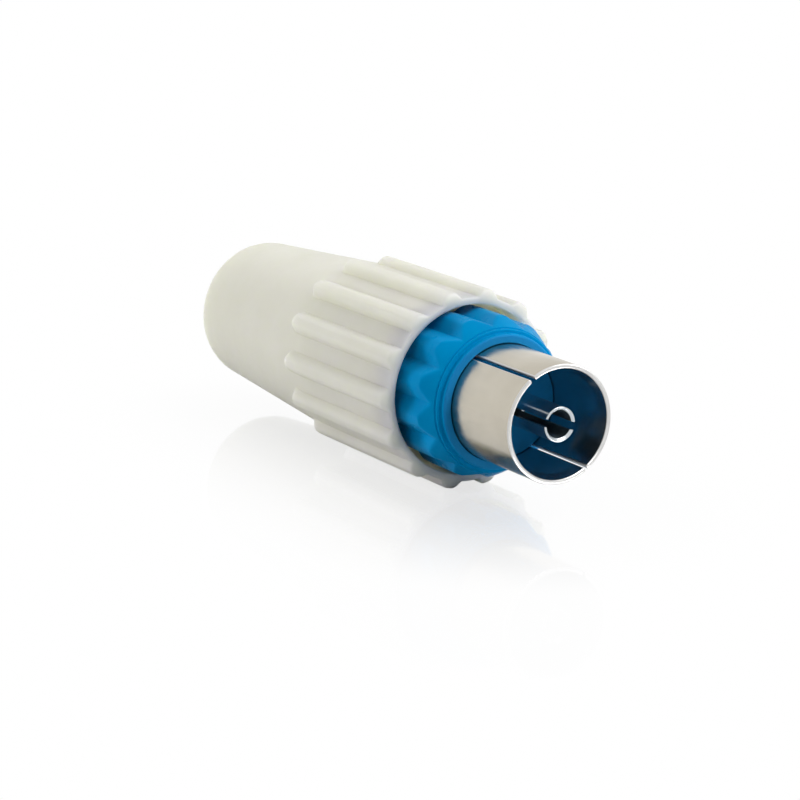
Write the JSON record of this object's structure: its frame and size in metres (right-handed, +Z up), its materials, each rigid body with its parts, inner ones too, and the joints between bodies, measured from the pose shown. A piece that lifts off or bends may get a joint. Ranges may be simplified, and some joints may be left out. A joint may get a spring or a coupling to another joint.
{
  "type": "coaxial socket",
  "caption": "Straight aerial line socket: a slotted outer contact and a split centre contact in a fluted insulator, with a ribbed sleeve that screws on and closes a braid clamp.",
  "frame": {"origin": "on the socket's axis, in the plane of its mouth, which is also the mouth of the centre contact's bore", "axes": "+X along the axis and out of the mouth, towards the plug; +Z up as the socket lies on two ribs of its sleeve; the cable leaves along -X"},
  "size_m": [0.0534, 0.0178, 0.0176],
  "materials": {
    "nickel": "brass, bright nickel plated",
    "zinc_steel": "steel, zinc plated",
    "blue_plastic": "moulded, semi-gloss blue",
    "white_plastic": "moulded, satin off-white, slightly translucent"
  },
  "bodies": {
    "insert": {"outer_contact": "nickel", "centre_contact": "nickel", "insulator_body": "blue_plastic"},
    "terminal_screw": {"terminal_screw": "zinc_steel"},
    "braid_clamp": {"braid_clamp": "nickel"},
    "housing_sleeve": {"housing_sleeve": "white_plastic"}
  },
  "joints": [
    {"name": "screw_slide", "type": "slide", "parent": "insert", "child": "terminal_screw", "axis": [0, 0, -1], "range_m": [0, 0.0008]},
    {"name": "clamp_slide", "type": "slide", "parent": "insert", "child": "braid_clamp", "axis": [-1, 0, 0], "range_m": [0, 0.00526]},
    {"name": "sleeve_turn", "type": "hinge", "parent": "braid_clamp", "child": "housing_sleeve", "pos_m": [0, 0, 0], "axis": [-1, 0, 0], "range_deg": [0, 1260]}
  ],
  "couplings": [
    {"joint": "clamp_slide", "follows": "sleeve_turn", "m_per_rad": 0.00023873}
  ]
}
